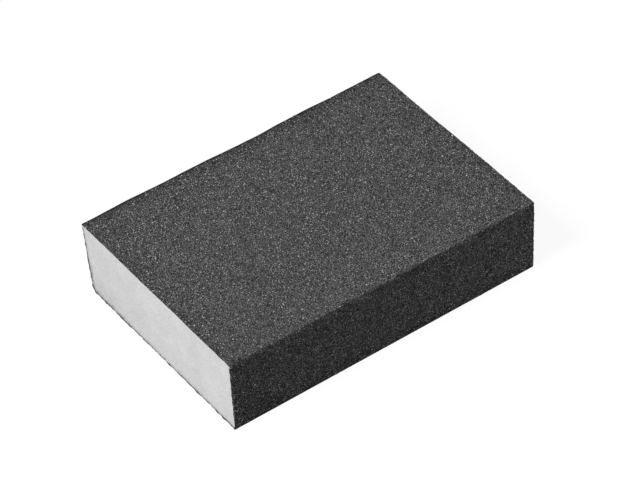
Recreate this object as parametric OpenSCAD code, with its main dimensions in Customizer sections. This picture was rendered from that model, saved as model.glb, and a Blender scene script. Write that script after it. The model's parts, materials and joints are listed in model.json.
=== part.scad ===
// Sanding sponge: a hand block of fine foam with a coat of grit bonded round its four long sides.
// The two ends are cut square through coat and foam together, so the foam shows bare there.
// The block is cut a little wider at the top than underneath, and one long edge is worn round.
// Millimetres. X runs from cut end to cut end, Y across the block, Z up.
// The origin is the middle of the underside.

/* [Block] */
// Length from cut end to cut end
block_l = 100; // [60:1:200]
// Width of the underside, over the coat
underside_w = 68; // [40:1:120]
// Distance that each long side leans out between the underside and the top
side_lean = 1; // [0:0.25:6]
// Height from the underside to the top, over the coat
block_h = 24; // [15:1:60]

/* [Edges] */
// Radius that the foam keeps on its crisp long edges
crisp_r = 0.2; // [0.1:0.1:3]
// Radius that the foam has on its one worn long edge, under the back
worn_r = 1.6; // [0.1:0.1:4]

/* [Coat] */
// Thickness of the grit and the resin that holds it
coat_t = 0.4; // [0.2:0.1:1.5]

/* [Hidden] */
$fn = 96;

foam_colour = "gainsboro";
coat_colour = "dimgray";

// The four long edges as [y, z], in order round the section seen from +X, each with its foam radius
long_edges = [
    [-underside_w / 2, 0],
    [underside_w / 2, 0],
    [underside_w / 2 + side_lean, block_h],
    [-underside_w / 2 - side_lean, block_h]
];
foam_radii = [crisp_r, worn_r, crisp_r, crisp_r];
side_count = len(long_edges);

// Each edge is round about a centre that coat and foam share, so the coat is equally thick all the way
function long_edge(i) = long_edges[i % side_count];
function outer_radius(i) = foam_radii[i % side_count] + coat_t;
function unit(v) = v / norm(v);
function side_direction(i) = unit(long_edge(i + 1) - long_edge(i));
function side_normal(i) = [side_direction(i).y, -side_direction(i).x];
function normal_before(i) = side_normal(i + side_count - 1);
function edge_centre(i) = let (spread = normal_before(i) + side_normal(i))
    long_edge(i) - outer_radius(i) * 2 * spread / (spread * spread);

// The block's outline at a depth under the face of the coat: straight sides that run into round edges
module outline(depth) {
    polygon([
        for (i = [0 : side_count - 1], normal = [normal_before(i), side_normal(i)])
            edge_centre(i) + (outer_radius(i) - depth) * normal
    ]);
    for (i = [0 : side_count - 1])
        translate(edge_centre(i)) circle(outer_radius(i) - depth);
}

// Runs an outline of Y and Z through the whole length, from one cut end to the other
module cut_to_length() {
    rotate([90, 0, 90]) linear_extrude(block_l, center = true) children();
}

module foam_block() {
    color(foam_colour) cut_to_length() outline(coat_t);
}

module abrasive_coat() {
    color(coat_colour) cut_to_length() difference() {
        outline(0);
        outline(coat_t);
    }
}

foam_block();
abrasive_coat();
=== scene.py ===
import json
import math

import bmesh
import bpy
from mathutils import Matrix, Vector

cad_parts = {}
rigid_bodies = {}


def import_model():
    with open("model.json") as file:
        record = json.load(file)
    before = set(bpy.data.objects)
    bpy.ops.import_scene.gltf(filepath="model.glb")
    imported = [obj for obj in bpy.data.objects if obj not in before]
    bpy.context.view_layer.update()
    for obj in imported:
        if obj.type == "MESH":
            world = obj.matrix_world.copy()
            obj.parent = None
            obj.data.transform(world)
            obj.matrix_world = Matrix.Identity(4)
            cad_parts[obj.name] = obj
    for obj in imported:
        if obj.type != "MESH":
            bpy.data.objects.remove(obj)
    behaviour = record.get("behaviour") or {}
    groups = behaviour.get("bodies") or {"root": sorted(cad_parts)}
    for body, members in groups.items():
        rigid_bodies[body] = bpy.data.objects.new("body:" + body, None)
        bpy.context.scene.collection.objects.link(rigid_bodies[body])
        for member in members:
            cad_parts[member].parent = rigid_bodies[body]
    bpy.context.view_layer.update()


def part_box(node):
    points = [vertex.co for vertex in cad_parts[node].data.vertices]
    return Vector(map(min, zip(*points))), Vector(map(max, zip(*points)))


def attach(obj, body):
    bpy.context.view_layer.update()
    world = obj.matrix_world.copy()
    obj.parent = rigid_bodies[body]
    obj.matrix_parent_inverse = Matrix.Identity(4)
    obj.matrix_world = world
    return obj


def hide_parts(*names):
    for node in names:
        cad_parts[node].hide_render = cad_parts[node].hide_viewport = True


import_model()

# A sanding sponge: a block of fine foam with grit bonded round its four long sides.
# Metres. X runs from cut end to cut end, Y across the block, Z up from the underside.

MM = 0.001

# The block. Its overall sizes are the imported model's own.
coat_low, coat_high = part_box("abrasive_coat")
_, foam_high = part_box("foam_block")
BLOCK_LENGTH = coat_high.x - coat_low.x
BLOCK_HEIGHT = coat_high.z - coat_low.z
BLOCK_MIDDLE = Vector((0, 0, BLOCK_HEIGHT / 2))
COAT_THICKNESS = coat_high.z - foam_high.z
UNDERSIDE_WIDTH = 68 * MM
SIDE_LEAN = 1 * MM  # each long side stands out by this at the top
CRISP_RADIUS = 0.2 * MM
WORN_RADIUS = 2 * MM
LEAST_RADIUS = 0.05 * MM  # of the foam's own edges, where the coat is thicker than the crisp radius
COATED_SIDES = {"top": (0, 0, 1), "underside": (0, 0, -1), "front": (0, -1, 0), "back": (0, 1, 0)}
CUT_ENDS = {"left_end": (-1, 0, 0), "right_end": (1, 0, 0)}

# How far the blade ran out of true
UNDERSIDE_SHIFT = 0.7 * MM  # towards the front
END_LEAN = 0.3 * MM  # each end leans in by this at the underside

# How the coat lies: it rolls slightly, except near the underside, and its back top edge was knocked in.
RESIN_DEPTH = 0.08 * MM  # of the resin's face, from the block's full size
ROLL_SIZE = 16 * MM
ROLL_STRENGTH = 0.6 * MM
FLAT_HEIGHT = 8 * MM  # the roll fades out from here down, so the underside lies flat
DENT_PLACE = 6 * MM
DENT_WIDTH = 2 * MM
DENT = (0, -0.2 * MM, -0.17 * MM)
DENT_REACH = 16 * MM

# How the cut ends came out: the coat's rims are frayed, the foam's cells are laid open, and dust of the
# coat clings to the foam along the underside and the back.
RIM_DEPTH = 0.05 * MM  # whatever lies this near to a cut end belongs to it
FRAY_SIZE = 1.4 * MM
FRAY_STRENGTH = 0.6 * MM
ENTRY_DEPTH = 1 * MM  # of the band at the top where the blade went in, and
ENTRY_FRAY = 0.3  # how much of the fray it has
CELL_SIZE = 0.55 * MM
CELL_DEPTH = 0.12 * MM
SOIL_REACH = 1.6 * MM
SOIL_STRENGTH = 0.5
SOIL_POWER = 1.3

# Distances between the mesh's lines
COAT_PITCH = 0.5 * MM
COAT_ROWS = 64  # along the whole length
FOAM_PITCH = 0.25 * MM

# Grit. Each grade has its grains' size, the least space between them, and their tones. Real grains of
# this grit are about 0.15 mm across. They are drawn two or three times as coarse, so that they show.
COARSE_GRAIN = 0.45 * MM
COARSE_SPACING = 0.54 * MM
COARSE_TONES = ("#141414", "#5c5c5c", "#6e6e6e", "#808080", "#949494", "#acacac")
FINE_GRAIN = 0.26 * MM
FINE_SPACING = 0.36 * MM
FINE_TONES = ("#282828", "#686868", "#9c9c9c")
# The bright grade: glossy grains whose facets really glint, and whose pale colour is a painted glint as well.
GLINT_GRAIN = 0.34 * MM
GLINT_SPACING = 2.7 * MM
PAINTED_GLINT_TONES = ("#b4b4b4", "#d2d2d2")
SIZE_SPREAD = (0.75, 1.25)
OUT_OF_TRUE = 0.12  # share of a grain's size by which its corners are knocked
GRAIN_SINK = 0.06 * MM
SIDE_TURN = math.radians(45)  # a side's grit covers the faces that are turned from it by less than this
TRIES = 4  # at strewing, for each square of the least space

# The grit thins out towards the cut ends and along two of the long edges
THIN_REACH = 5 * MM
THIN_POWER = 0.07
BARE_RIM = 0.4 * MM

# Light and floor. At level 1 a face turned to a lamp looks as bright as its colour.
KEY_LEVEL = 1.168
FILL_LEVEL = 0.2
SIDE_LEVEL = 0.25
ROOM_LEVEL = 0.11
FLOOR_SIZE = 4
SHADOW_REACH = 0.15  # the floor shows the block's shadow up to here, and
PLAIN_REACH = 0.5  # from here on it is plain white
SHADOW_SHARE = 0.08

# Camera
LENS = 197.3
SENSOR_WIDTH = 36
CAMERA_AIM = Vector((3.45, -0.05, 12)) * MM
CAMERA_DISTANCE = 953.7 * MM
CAMERA_AZIMUTH = -33.602
CAMERA_ELEVATION = 42.744
CAMERA_ROLL = -3.564


# Helpers for the mesh tools

def activate(obj):
    """Makes obj the only selected object, and the active one."""
    bpy.ops.object.select_all(action="DESELECT")
    obj.select_set(True)
    bpy.context.view_layer.objects.active = obj


def relist():
    """Leaves edit mode and enters it again, which lists the mesh's parts afresh.

    Without this, bevel and bisect go through them in an order that changes from run to run, and the
    grit, which is strewn face by face, would lie differently each time.
    """
    bpy.ops.object.mode_set(mode="OBJECT")
    bpy.ops.object.mode_set(mode="EDIT")


def select_where(obj, mode, test):
    """In edit mode, selects the vertices, edges or faces that pass the test, and no others."""
    relist()
    bpy.ops.mesh.select_mode(type=mode)
    bpy.ops.mesh.select_all(action="DESELECT")
    shape = bmesh.from_edit_mesh(obj.data)
    for item in {"VERT": shape.verts, "EDGE": shape.edges, "FACE": shape.faces}[mode]:
        if test(item):
            item.select_set(True)
    shape.select_flush_mode()
    bmesh.update_edit_mesh(obj.data)


def edge_vector(edge):
    """The way from an edge's first corner to its second."""
    return edge.verts[1].co - edge.verts[0].co


def edge_centre(edge):
    """The place halfway along an edge."""
    return (edge.verts[0].co + edge.verts[1].co) / 2


def runs_along_block(edge):
    """True for the long edges and the lines parallel to them."""
    along = edge_vector(edge)
    return abs(along.x) > 0.9 * along.length


def apply_modifier(obj, kind, **settings):
    """Adds a modifier with its settings and applies it."""
    activate(obj)
    modifier = obj.modifiers.new(kind.lower(), kind)
    for name, value in settings.items():
        setattr(modifier, name, value)
    bpy.ops.object.modifier_apply(modifier=modifier.name)


def weigh(obj, name, weight):
    """Makes a vertex group that weighs each vertex by its place, and returns the group's name."""
    group = obj.vertex_groups.new(name=name)
    for vertex in obj.data.vertices:
        group.add([vertex.index], weight(vertex.co), "REPLACE")
    return name


def cloud_texture(name, size):
    """Soft lumps of about this size, which a modifier displaces a mesh by."""
    texture = bpy.data.textures.new(name, "CLOUDS")
    texture.noise_scale = size
    return texture


# Helpers for the node trees

def add_node(tree, kind, inputs=None, **settings):
    """Adds a node with its settings. Each input is a value, or the socket that feeds it."""
    node = tree.nodes.new(kind)
    for name, value in settings.items():
        setattr(node, name, value)
    for name, value in (inputs or {}).items():
        socket = node.inputs[name]
        if isinstance(value, bpy.types.NodeSocket):
            tree.links.new(value, socket)
        else:
            socket.default_value = value
    return node


def linear(hex_colour):
    """Turns an sRGB hex colour into the linear one that a shader takes."""
    parts = [int(hex_colour[i:i + 2], 16) / 255 for i in (1, 3, 5)]
    return (*[c / 12.92 if c <= 0.04045 else ((c + 0.055) / 1.055) ** 2.4 for c in parts], 1)


def new_material(name):
    """An empty material, and its node tree."""
    material = bpy.data.materials.new(name)
    material.use_nodes = True
    material.node_tree.nodes.clear()
    return material, material.node_tree


def tone_ramp(tree, factor, *stops):
    """Turns a factor into a colour. Each stop is a place from 0 to 1 and an sRGB hex colour."""
    ramp = add_node(tree, "ShaderNodeValToRGB", {"Fac": factor})
    elements = ramp.color_ramp.elements
    while len(elements) < len(stops):
        elements.new(1)
    for element, (place, colour) in zip(elements, stops):
        element.position = place
        element.color = linear(colour)
    return ramp.outputs["Color"]


# Materials

def cut_foam():
    """Fine closed-cell polyurethane foam, cut with a blade.

    Cutting opens the cells, so it is pale and dead matt, with a soft mottle and no glint. Painted shade
    darkens it a little towards the underside and the back, and the blade has dragged dust over its rim.
    Real cells are about 0.2 mm across. They are drawn twice as coarse, so that they show.
    """
    material, tree = new_material("cut_foam")
    place = add_node(tree, "ShaderNodeTexCoord").outputs["Object"]
    cells = add_node(tree, "ShaderNodeTexVoronoi", {"Vector": place, "Scale": 1 / (0.4 * MM)})
    fine = add_node(tree, "ShaderNodeTexNoise", {"Vector": place, "Scale": 1 / (0.6 * MM), "Detail": 1.0})
    broad = add_node(tree, "ShaderNodeTexNoise", {"Vector": place, "Scale": 1 / (7 * MM), "Detail": 1.0})
    mottle = add_node(tree, "ShaderNodeMath", {
        0: broad.outputs["Fac"], 1: fine.outputs["Fac"]}, operation="ADD")
    # Painted shade: the foam's colour darkens towards the underside and, less, towards the back.
    upwards = add_node(tree, "ShaderNodeVectorMath", {
        0: place, 1: (0, -0.3, 1)}, operation="DOT_PRODUCT").outputs["Value"]
    painted_shade = add_node(tree, "ShaderNodeMapRange", {
        "Value": upwards, "From Min": -12 * MM, "From Max": 16 * MM, "To Min": -0.25, "To Max": 0.0})
    tone = add_node(tree, "ShaderNodeMath", {
        0: mottle.outputs["Value"], 1: 0.5, 2: painted_shade.outputs["Result"]}, operation="MULTIPLY_ADD")
    tone = add_node(tree, "ShaderNodeMath", {
        0: cells.outputs["Color"], 1: 0.4, 2: tone.outputs["Value"]}, operation="MULTIPLY_ADD")
    dust = add_node(tree, "ShaderNodeAttribute", attribute_name="soil").outputs["Fac"]
    tone = add_node(tree, "ShaderNodeMath", {0: tone.outputs["Value"], 1: dust}, operation="SUBTRACT")
    shade = tone_ramp(tree, tone.outputs["Value"], (0.0, "#909090"), (0.3, "#d2d2d2"), (1.0, "#efefef"))
    relief = add_node(tree, "ShaderNodeBump", {
        "Strength": 0.3, "Distance": 0.06 * MM, "Height": cells.outputs["Distance"]})
    shader = add_node(tree, "ShaderNodeBsdfPrincipled", {
        "Base Color": shade, "Roughness": 0.95, "Specular IOR Level": 0.2,
        "Normal": relief.outputs["Normal"]})
    add_node(tree, "ShaderNodeOutputMaterial", {"Surface": shader.outputs["BSDF"]})
    return material


def facet_normal(tree, cells, lean):
    """Leans each cell of a pattern its own way, as the flat face of a crushed grain does."""
    surface = add_node(tree, "ShaderNodeNewGeometry").outputs["Normal"]
    own_way = add_node(tree, "ShaderNodeVectorMath", {
        0: cells.outputs["Color"], 1: (0.5, 0.5, 0.5)}, operation="SUBTRACT")
    leaning = add_node(tree, "ShaderNodeVectorMath", {
        0: own_way.outputs["Vector"], 1: (lean,) * 3, 2: surface}, operation="MULTIPLY_ADD")
    facing = add_node(tree, "ShaderNodeVectorMath", {0: leaning.outputs["Vector"]}, operation="NORMALIZE")
    return facing.outputs["Vector"]


def grit_in_resin():
    """The bed between the strewn grains: the finest mineral, in dark phenolic resin sprayed on and cured.

    Its grains are flat-faced and lie every way. Their faces are leaned in the shading, and the close speckle
    of colour from black to mid grey is painted light and shade of those faces. It is a little darker where
    the coat thins out. The resin itself hardly shines.
    """
    material, tree = new_material("grit_in_resin")
    place = add_node(tree, "ShaderNodeTexCoord").outputs["Object"]
    cells = add_node(tree, "ShaderNodeTexVoronoi", {"Vector": place, "Scale": 1 / (0.14 * MM)})
    # Painted light and shade: each cell gets its own tone, as a facet that catches more or less light.
    painted_facet_light = add_node(tree, "ShaderNodeTexWhiteNoise", {"Vector": cells.outputs["Position"]})
    patches = add_node(tree, "ShaderNodeTexNoise", {"Vector": place, "Scale": 1 / (9 * MM), "Detail": 4.0})
    tone = add_node(tree, "ShaderNodeMath", {
        0: patches.outputs["Fac"], 1: 0.06, 2: painted_facet_light.outputs["Value"]}, operation="MULTIPLY_ADD")
    cover = add_node(tree, "ShaderNodeAttribute", attribute_name="grit_cover").outputs["Fac"]
    tone = add_node(tree, "ShaderNodeMath", {0: tone.outputs["Value"], 1: cover}, operation="MULTIPLY")
    shade = tone_ramp(tree, tone.outputs["Value"],
                      (0.06, "#1a1a1a"), (0.6, "#3d3d3d"), (0.9, "#585858"), (1.0, "#949494"))
    shader = add_node(tree, "ShaderNodeBsdfPrincipled", {
        "Base Color": shade, "Roughness": 0.6, "Specular IOR Level": 0.05,
        "Normal": facet_normal(tree, cells, lean=1.1)})
    add_node(tree, "ShaderNodeOutputMaterial", {"Surface": shader.outputs["BSDF"]})
    return material


def cut_resin():
    """The same resin where the blade went through it: black, with cut grains showing as faint specks."""
    material, tree = new_material("cut_resin")
    place = add_node(tree, "ShaderNodeTexCoord").outputs["Object"]
    specks = add_node(tree, "ShaderNodeTexNoise", {"Vector": place, "Scale": 1 / (0.3 * MM), "Detail": 2.0})
    shade = tone_ramp(tree, specks.outputs["Fac"], (0.4, "#0c0c0c"), (0.8, "#2c2c2c"))
    shader = add_node(tree, "ShaderNodeBsdfPrincipled", {
        "Base Color": shade, "Roughness": 0.7, "Specular IOR Level": 0.05})
    add_node(tree, "ShaderNodeOutputMaterial", {"Surface": shader.outputs["BSDF"]})
    return material


def crushed_mineral(name, tone, roughness, specular):
    """Silicon carbide, crushed: its facets break clean, so each grain has one flat tone and a small glint."""
    material, tree = new_material(name)
    shader = add_node(tree, "ShaderNodeBsdfPrincipled", {
        "Base Color": linear(tone), "Roughness": roughness, "Specular IOR Level": specular})
    add_node(tree, "ShaderNodeOutputMaterial", {"Surface": shader.outputs["BSDF"]})
    return material


# The block's form

def half_width(height, depth):
    """Half the block's width at a height, on a face that lies at a depth under the coat's own."""
    return UNDERSIDE_WIDTH / 2 + SIDE_LEAN * height / BLOCK_HEIGHT - depth


def half_length(height):
    """Half the block's length at a height."""
    return BLOCK_LENGTH / 2 - END_LEAN * (1 - height / BLOCK_HEIGHT)


def section_shift(height):
    """How far the middle of the block's width lies off the X axis at a height."""
    return -UNDERSIDE_SHIFT * (1 - height / BLOCK_HEIGHT)


def is_at_end(place):
    """True on the cut ends."""
    return abs(place.x) > half_length(place.z) - RIM_DEPTH


def grit_cover(place):
    """How thickly the grit lies at a place, up to 1.

    It thins out towards the cut ends, the back top edge and the front lower one.
    """
    from_end = half_length(place.z) - abs(place.x) + THIN_REACH / 3
    across = place.y - section_shift(place.z)
    from_back_edge = max(half_width(place.z, 0) - across, BLOCK_HEIGHT - place.z)
    from_front_edge = max(half_width(place.z, 0) + across, place.z)
    nearest = max(0, min(from_end, from_back_edge, from_front_edge) - BARE_RIM)
    return min(1, (nearest / THIN_REACH) ** THIN_POWER)


def is_at_dent(vertex):
    """True on the back top edge where it was once knocked in."""
    place = vertex.co
    at_edge = place.y > half_width(place.z, CRISP_RADIUS) and place.z > BLOCK_HEIGHT - CRISP_RADIUS
    return at_edge and abs(place.x - DENT_PLACE) < DENT_WIDTH / 2


def rounded_block(name, depth):
    """The whole block at a depth under the coat's face: leaning sides, three crisp long edges, one worn."""
    bpy.ops.object.select_all(action="DESELECT")
    bpy.ops.mesh.primitive_cube_add(size=2, location=BLOCK_MIDDLE, scale=(1, 1, BLOCK_HEIGHT / 2 - depth))
    block = bpy.context.active_object
    block.name = block.data.name = name
    bpy.ops.object.transform_apply(location=True, rotation=True, scale=True)
    bpy.ops.object.mode_set(mode="EDIT")
    for height, upwards in ((depth, -1), (BLOCK_HEIGHT - depth, 1)):
        select_where(block, "FACE", lambda face: face.normal.z * upwards > 0.9)
        bpy.ops.transform.resize(
            value=(half_length(height), half_width(height, depth), 1), center_override=(0, 0, height))
        bpy.ops.transform.translate(value=(0, section_shift(height), 0))

    def is_worn(edge):
        """True for the back lower edge."""
        centre = edge_centre(edge)
        return centre.y > 0 and centre.z < BLOCK_HEIGHT / 2

    select_where(block, "EDGE", lambda edge: runs_along_block(edge) and is_worn(edge))
    bpy.ops.mesh.bevel(offset=WORN_RADIUS - depth, segments=8, affect="EDGES")
    select_where(block, "EDGE", lambda edge: runs_along_block(edge) and not is_worn(edge))
    bpy.ops.mesh.bevel(offset=max(CRISP_RADIUS - depth, LEAST_RADIUS), segments=3, affect="EDGES")
    return block


# Pieces

def resin_skin():
    """The face of the resin on the four long sides, open at the two cut ends, rolling very slightly."""
    skin = rounded_block("resin_skin", RESIN_DEPTH)
    select_where(skin, "FACE", lambda face: abs(face.normal.x) > 0.5)
    bpy.ops.mesh.delete(type="ONLY_FACE")
    for axis, length in (("y", UNDERSIDE_WIDTH), ("z", BLOCK_HEIGHT)):
        select_where(skin, "EDGE", lambda edge: abs(getattr(edge_vector(edge), axis)) > length / 2)
        bpy.ops.mesh.subdivide(number_cuts=round(length / COAT_PITCH) - 1)
    select_where(skin, "EDGE", runs_along_block)
    bpy.ops.mesh.subdivide(number_cuts=COAT_ROWS - 1)
    select_where(skin, "VERT", is_at_dent)
    bpy.ops.transform.translate(value=DENT, use_proportional_edit=True,
                                proportional_edit_falloff="SMOOTH", proportional_size=DENT_REACH)
    bpy.ops.object.mode_set(mode="OBJECT")
    loose = weigh(skin, "loose", lambda place: min(1, place.z / FLAT_HEIGHT))
    apply_modifier(skin, "DISPLACE", texture=cloud_texture("roll", ROLL_SIZE), strength=ROLL_STRENGTH,
                   mid_level=0.5, vertex_group=loose, texture_coords="GLOBAL")
    cover = skin.data.attributes.new("grit_cover", "FLOAT", "POINT")
    cover.data.foreach_set("value", [grit_cover(vertex.co) for vertex in skin.data.vertices])
    return skin


def frayed(place):
    """How freely the blade frayed the coat's rim: hardly at the top, where it went in."""
    if not is_at_end(place):
        return 0
    return ENTRY_FRAY if place.z > BLOCK_HEIGHT - ENTRY_DEPTH else 1


def resin_coat(skin):
    """The resin layer itself: the skin given its thickness inwards, down to the foam, with rough cut rims."""
    activate(skin)
    bpy.ops.object.duplicate()
    coat = bpy.context.active_object
    coat.name = coat.data.name = "resin_coat"
    coat.data.materials.append(grit_in_resin())
    coat.data.materials.append(cut_resin())
    apply_modifier(coat, "SOLIDIFY", thickness=COAT_THICKNESS - RESIN_DEPTH, offset=-1, use_rim=True,
                   material_offset_rim=1)
    for end, (outwards, _, _) in CUT_ENDS.items():
        rim = weigh(coat, end, lambda place: frayed(place) if place.x * outwards > 0 else 0)
        apply_modifier(coat, "DISPLACE", texture=cloud_texture(f"frayed_{end}", FRAY_SIZE),
                       strength=FRAY_STRENGTH * outwards, mid_level=0.4, direction="X", vertex_group=rim,
                       texture_coords="GLOBAL")
    bpy.ops.object.shade_smooth_by_angle(angle=math.radians(50))
    return coat


def score_lengthways(columns, rows):
    """In edit mode, cuts the block lengthways into columns and rows, for the cells of its cut ends."""
    relist()
    for k in range(1, columns):
        bpy.ops.mesh.select_all(action="SELECT")
        bpy.ops.mesh.bisect(plane_co=(0, UNDERSIDE_WIDTH * (k / columns - 0.5), 0), plane_no=(0, 1, 0))
    for k in range(1, rows):
        bpy.ops.mesh.select_all(action="SELECT")
        bpy.ops.mesh.bisect(plane_co=(0, 0, BLOCK_HEIGHT * k / rows), plane_no=(0, 0, 1))


def soil(place):
    """How much dust of the coat the blade dragged over the foam here, along the underside and the back."""
    from_back = half_width(place.z, COAT_THICKNESS) - (place.y - section_shift(place.z))
    from_coat = min(place.z - COAT_THICKNESS, from_back)
    return SOIL_STRENGTH * max(0, 1 - from_coat / SOIL_REACH) ** SOIL_POWER


def foam_piece():
    """The foam inside the coat, with both cut ends opened up into fine cells."""
    foam = rounded_block("cut_foam_block", COAT_THICKNESS)
    score_lengthways(round(UNDERSIDE_WIDTH / FOAM_PITCH), round(BLOCK_HEIGHT / FOAM_PITCH))
    bpy.ops.object.mode_set(mode="OBJECT")
    inset = COAT_THICKNESS + FOAM_PITCH / 4

    def is_open_cell(place):
        across = abs(place.y - section_shift(place.z))
        clear_of_coat = inset < place.z < BLOCK_HEIGHT - inset and across < half_width(place.z, inset)
        return clear_of_coat and is_at_end(place)

    ends = weigh(foam, "cut_ends", is_open_cell)
    apply_modifier(foam, "DISPLACE", texture=cloud_texture("cells", CELL_SIZE), strength=CELL_DEPTH,
                   mid_level=0.9, vertex_group=ends, texture_coords="GLOBAL")
    bpy.ops.object.shade_smooth_by_angle(angle=math.radians(40))
    foam.data.materials.append(cut_foam())
    dirt = foam.data.attributes.new("soil", "FLOAT", "POINT")
    dirt.data.foreach_set("value", [soil(vertex.co) for vertex in foam.data.vertices])
    return foam


def crushed_grain(name, corners, size, squash, taper, seed, material):
    """One grain: a short stub with a few corners, knocked out of true."""
    bpy.ops.object.select_all(action="DESELECT")
    bpy.ops.mesh.primitive_cone_add(
        vertices=corners, radius1=size / 2, radius2=size / 2 * taper, depth=size * squash)
    grain = bpy.context.active_object
    grain.name = grain.data.name = name
    bpy.ops.object.mode_set(mode="EDIT")
    bpy.ops.transform.vertex_random(offset=size * OUT_OF_TRUE, seed=seed)
    bpy.ops.object.mode_set(mode="OBJECT")
    grain.data.materials.append(material)
    return grain


def grade_of_grit(grade, size, tones, corners, squash, taper, roughness=0.5, specular=0.1):
    """One crushed grain in each tone, in a collection that a scatter can pick from."""
    grains = bpy.data.collections.new(grade)
    for seed, tone in enumerate(tones):
        mineral = crushed_mineral(f"{grade}_mineral_{seed}", tone, roughness, specular)
        grain = crushed_grain(f"{grade}_grain_{seed}", corners, size, squash, taper, seed, mineral)
        grain.users_collection[0].objects.unlink(grain)
        grains.objects.link(grain)
    return grains


def scatter_tree(name, facing, grains, spacing, seed):
    """Geometry nodes that strew grains over the faces that look one way, each grain turned its own way."""
    tree = bpy.data.node_groups.new(name, "GeometryNodeTree")
    tree.interface.new_socket("Carrier", in_out="INPUT", socket_type="NodeSocketGeometry")
    tree.interface.new_socket("Grit", in_out="OUTPUT", socket_type="NodeSocketGeometry")
    carrier = add_node(tree, "NodeGroupInput").outputs["Carrier"]
    normal = add_node(tree, "GeometryNodeInputNormal").outputs["Normal"]
    towards = add_node(tree, "ShaderNodeVectorMath", {0: normal, 1: facing}, operation="DOT_PRODUCT")
    on_side = add_node(tree, "ShaderNodeMath", {
        0: towards.outputs["Value"], 1: math.cos(SIDE_TURN)}, operation="GREATER_THAN")
    cover = add_node(tree, "GeometryNodeInputNamedAttribute", {"Name": "grit_cover"}, data_type="FLOAT")
    spots = add_node(tree, "GeometryNodeDistributePointsOnFaces", {
        "Mesh": carrier, "Selection": on_side.outputs["Value"], "Distance Min": spacing,
        "Density Max": TRIES / spacing ** 2, "Density Factor": cover.outputs["Attribute"],
        "Seed": seed}, distribute_method="POISSON")
    sunk = add_node(tree, "ShaderNodeVectorMath", {
        0: spots.outputs["Normal"], "Scale": -GRAIN_SINK}, operation="SCALE")
    seats = add_node(tree, "GeometryNodeSetPosition", {
        "Geometry": spots.outputs["Points"], "Offset": sunk.outputs["Vector"]})
    turns = add_node(tree, "FunctionNodeRandomValue", {
        1: (math.tau,) * 3, "Seed": seed + 1}, data_type="FLOAT_VECTOR")
    sizes = add_node(tree, "FunctionNodeRandomValue", {
        2: SIZE_SPREAD[0], 3: SIZE_SPREAD[1], "Seed": seed + 2}, data_type="FLOAT")
    picked = add_node(tree, "GeometryNodeCollectionInfo", {
        "Collection": grains, "Separate Children": True, "Reset Children": True})
    strewn = add_node(tree, "GeometryNodeInstanceOnPoints", {
        "Points": seats.outputs["Geometry"], "Instance": picked.outputs["Instances"],
        "Pick Instance": True, "Rotation": turns.outputs[0], "Scale": sizes.outputs[1]})
    real = add_node(tree, "GeometryNodeRealizeInstances", {"Geometry": strewn.outputs["Instances"]})
    add_node(tree, "NodeGroupOutput", {"Grit": real.outputs["Geometry"]})
    return tree


def grit_layer(name, carrier, facing, grains, spacing, seed):
    """All the grains of one grade on one side of the carrier, as one piece."""
    activate(carrier)
    bpy.ops.object.duplicate()
    layer = bpy.context.active_object
    layer.name = layer.data.name = name
    apply_modifier(layer, "NODES", node_group=scatter_tree(name, facing, grains, spacing, seed))
    return layer


# Stage, light and camera

def floor_paper():
    """White paper that shows the block's shadow lightly, and throws little light back up on the block.

    Its white is a glow with a small share of real paper in it, which the shadow falls on. The share
    fades out away from the block, so that the paper meets the white behind it without a line.
    """
    material, tree = new_material("floor_paper")
    path = add_node(tree, "ShaderNodeLightPath").outputs
    seen = add_node(tree, "ShaderNodeMath", {
        0: path["Is Camera Ray"], 1: path["Is Glossy Ray"]}, operation="MAXIMUM")
    seen = add_node(tree, "ShaderNodeMath", {
        0: seen.outputs["Value"], 1: path["Is Transmission Ray"]}, operation="MAXIMUM")
    paper = add_node(tree, "ShaderNodeBsdfDiffuse", {"Color": linear("#ffffff")})
    glow = add_node(tree, "ShaderNodeEmission", {"Color": linear("#ffffff"), "Strength": 1.0})
    place = add_node(tree, "ShaderNodeTexCoord").outputs["Object"]
    away = add_node(tree, "ShaderNodeVectorMath", {0: place}, operation="LENGTH").outputs["Value"]
    fade = add_node(tree, "ShaderNodeMapRange", {
        "Value": away, "From Min": SHADOW_REACH, "From Max": PLAIN_REACH,
        "To Min": 1 - SHADOW_SHARE, "To Max": 1.0})
    white = add_node(tree, "ShaderNodeMixShader", {
        0: fade.outputs["Result"], 1: paper.outputs["BSDF"], 2: glow.outputs["Emission"]})
    dull = add_node(tree, "ShaderNodeBsdfDiffuse", {"Color": linear("#707070")})
    both = add_node(tree, "ShaderNodeMixShader", {
        0: seen.outputs["Value"], 1: dull.outputs["BSDF"], 2: white.outputs["Shader"]})
    add_node(tree, "ShaderNodeOutputMaterial", {"Surface": both.outputs["Shader"]})
    return material


def floor():
    """The sheet of paper that the block stands on."""
    bpy.ops.object.select_all(action="DESELECT")
    bpy.ops.mesh.primitive_plane_add(size=FLOOR_SIZE)
    sheet = bpy.context.active_object
    sheet.name = "floor"
    sheet.data.materials.append(floor_paper())


def room_light():
    """Even light from all round, and plain white behind everything."""
    world = bpy.data.worlds.new("room")
    bpy.context.scene.world = world
    world.use_nodes = True
    tree = world.node_tree
    tree.nodes.clear()
    path = add_node(tree, "ShaderNodeLightPath").outputs
    seen = add_node(tree, "ShaderNodeMath", {
        0: path["Is Camera Ray"], 1: path["Is Transmission Ray"]}, operation="MAXIMUM")
    soft = add_node(tree, "ShaderNodeBackground", {"Color": linear("#ffffff"), "Strength": ROOM_LEVEL})
    white = add_node(tree, "ShaderNodeBackground", {"Color": linear("#ffffff"), "Strength": 1.0})
    both = add_node(tree, "ShaderNodeMixShader", {
        0: seen.outputs["Value"], 1: soft.outputs["Background"], 2: white.outputs["Background"]})
    add_node(tree, "ShaderNodeOutputWorld", {"Surface": both.outputs["Shader"]})


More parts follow.
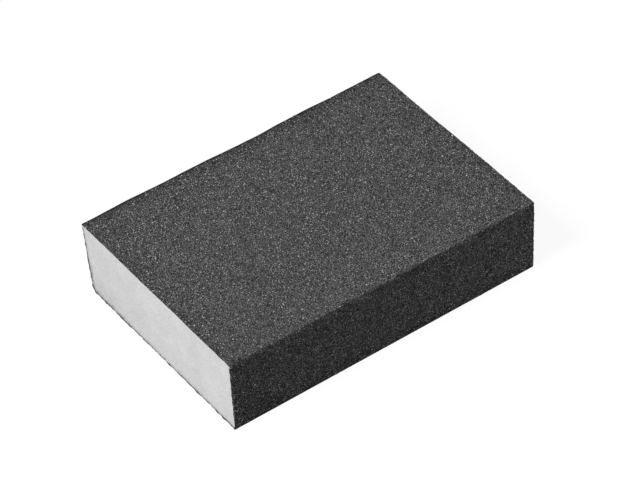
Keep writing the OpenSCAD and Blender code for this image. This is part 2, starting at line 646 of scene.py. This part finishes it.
def direction(azimuth, elevation):
    """The way from the block to a camera or lamp: azimuth 0 is in front, and 90 is at the right-hand end."""
    a, e = math.radians(azimuth), math.radians(elevation)
    return Vector((math.sin(a) * math.cos(e), -math.cos(a) * math.cos(e), math.sin(e)))


def soft_box(name, azimuth, elevation, distance, size, level):
    """A square soft box aimed at the block."""
    lamp = bpy.data.lights.new(name, "AREA")
    lamp.shape = "SQUARE"
    lamp.size = size
    lamp.energy = level * math.pi ** 2 * distance ** 2
    box = bpy.data.objects.new(name, lamp)
    bpy.context.scene.collection.objects.link(box)
    away = direction(azimuth, elevation)
    box.location = BLOCK_MIDDLE + away * distance
    box.rotation_euler = away.to_track_quat("Z", "Y").to_euler()


def camera():
    """Looks down on the left end and the front side, through a long lens."""
    lens = bpy.data.cameras.new("camera")
    lens.lens = LENS
    lens.sensor_width = SENSOR_WIDTH
    view = bpy.data.objects.new("camera", lens)
    bpy.context.scene.collection.objects.link(view)
    away = direction(CAMERA_AZIMUTH, CAMERA_ELEVATION)
    view.location = CAMERA_AIM + away * CAMERA_DISTANCE
    turn = away.to_track_quat("Z", "Y").to_matrix() @ Matrix.Rotation(math.radians(CAMERA_ROLL), 3, "Z")
    view.rotation_euler = turn.to_euler()
    bpy.context.scene.camera = view


# The sponge

skin = resin_skin()
coat = resin_coat(skin)
foam = foam_piece()
coarse = grade_of_grit("coarse", COARSE_GRAIN, COARSE_TONES, corners=3, squash=0.62, taper=0.6)
fine = grade_of_grit("fine", FINE_GRAIN, FINE_TONES, corners=4, squash=0.8, taper=0)
# Pale glossy grains: real glints from their facets, and painted glints in their pale colour.
bright = grade_of_grit("bright", GLINT_GRAIN, PAINTED_GLINT_TONES, corners=4, squash=0.8, taper=0.3,
                       roughness=0.3, specular=0.5)
grit = []
grades = (
    ("coarse", coarse, COARSE_SPACING), ("fine", fine, FINE_SPACING), ("bright", bright, GLINT_SPACING))
for number, (side, facing) in enumerate(COATED_SIDES.items()):
    for grade, grains, spacing in grades:
        seed = 10 * number + len(grit)
        grit.append(grit_layer(f"{grade}_grit_{side}", skin, facing, grains, spacing, seed))
for pattern in (skin, *coarse.objects, *fine.objects, *bright.objects):
    bpy.data.objects.remove(pattern)

for piece in (foam, coat, *grit):
    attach(piece, "root")
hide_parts("foam_block")
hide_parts("abrasive_coat")

floor()
room_light()
soft_box("key", azimuth=-84, elevation=52.5, distance=1.2, size=0.3, level=KEY_LEVEL)
soft_box("fill", azimuth=165, elevation=15, distance=1.5, size=0.8, level=FILL_LEVEL)
soft_box("side", azimuth=68, elevation=12, distance=0.27, size=0.1, level=SIDE_LEVEL)
camera()
bpy.context.scene.view_settings.view_transform = "Standard"
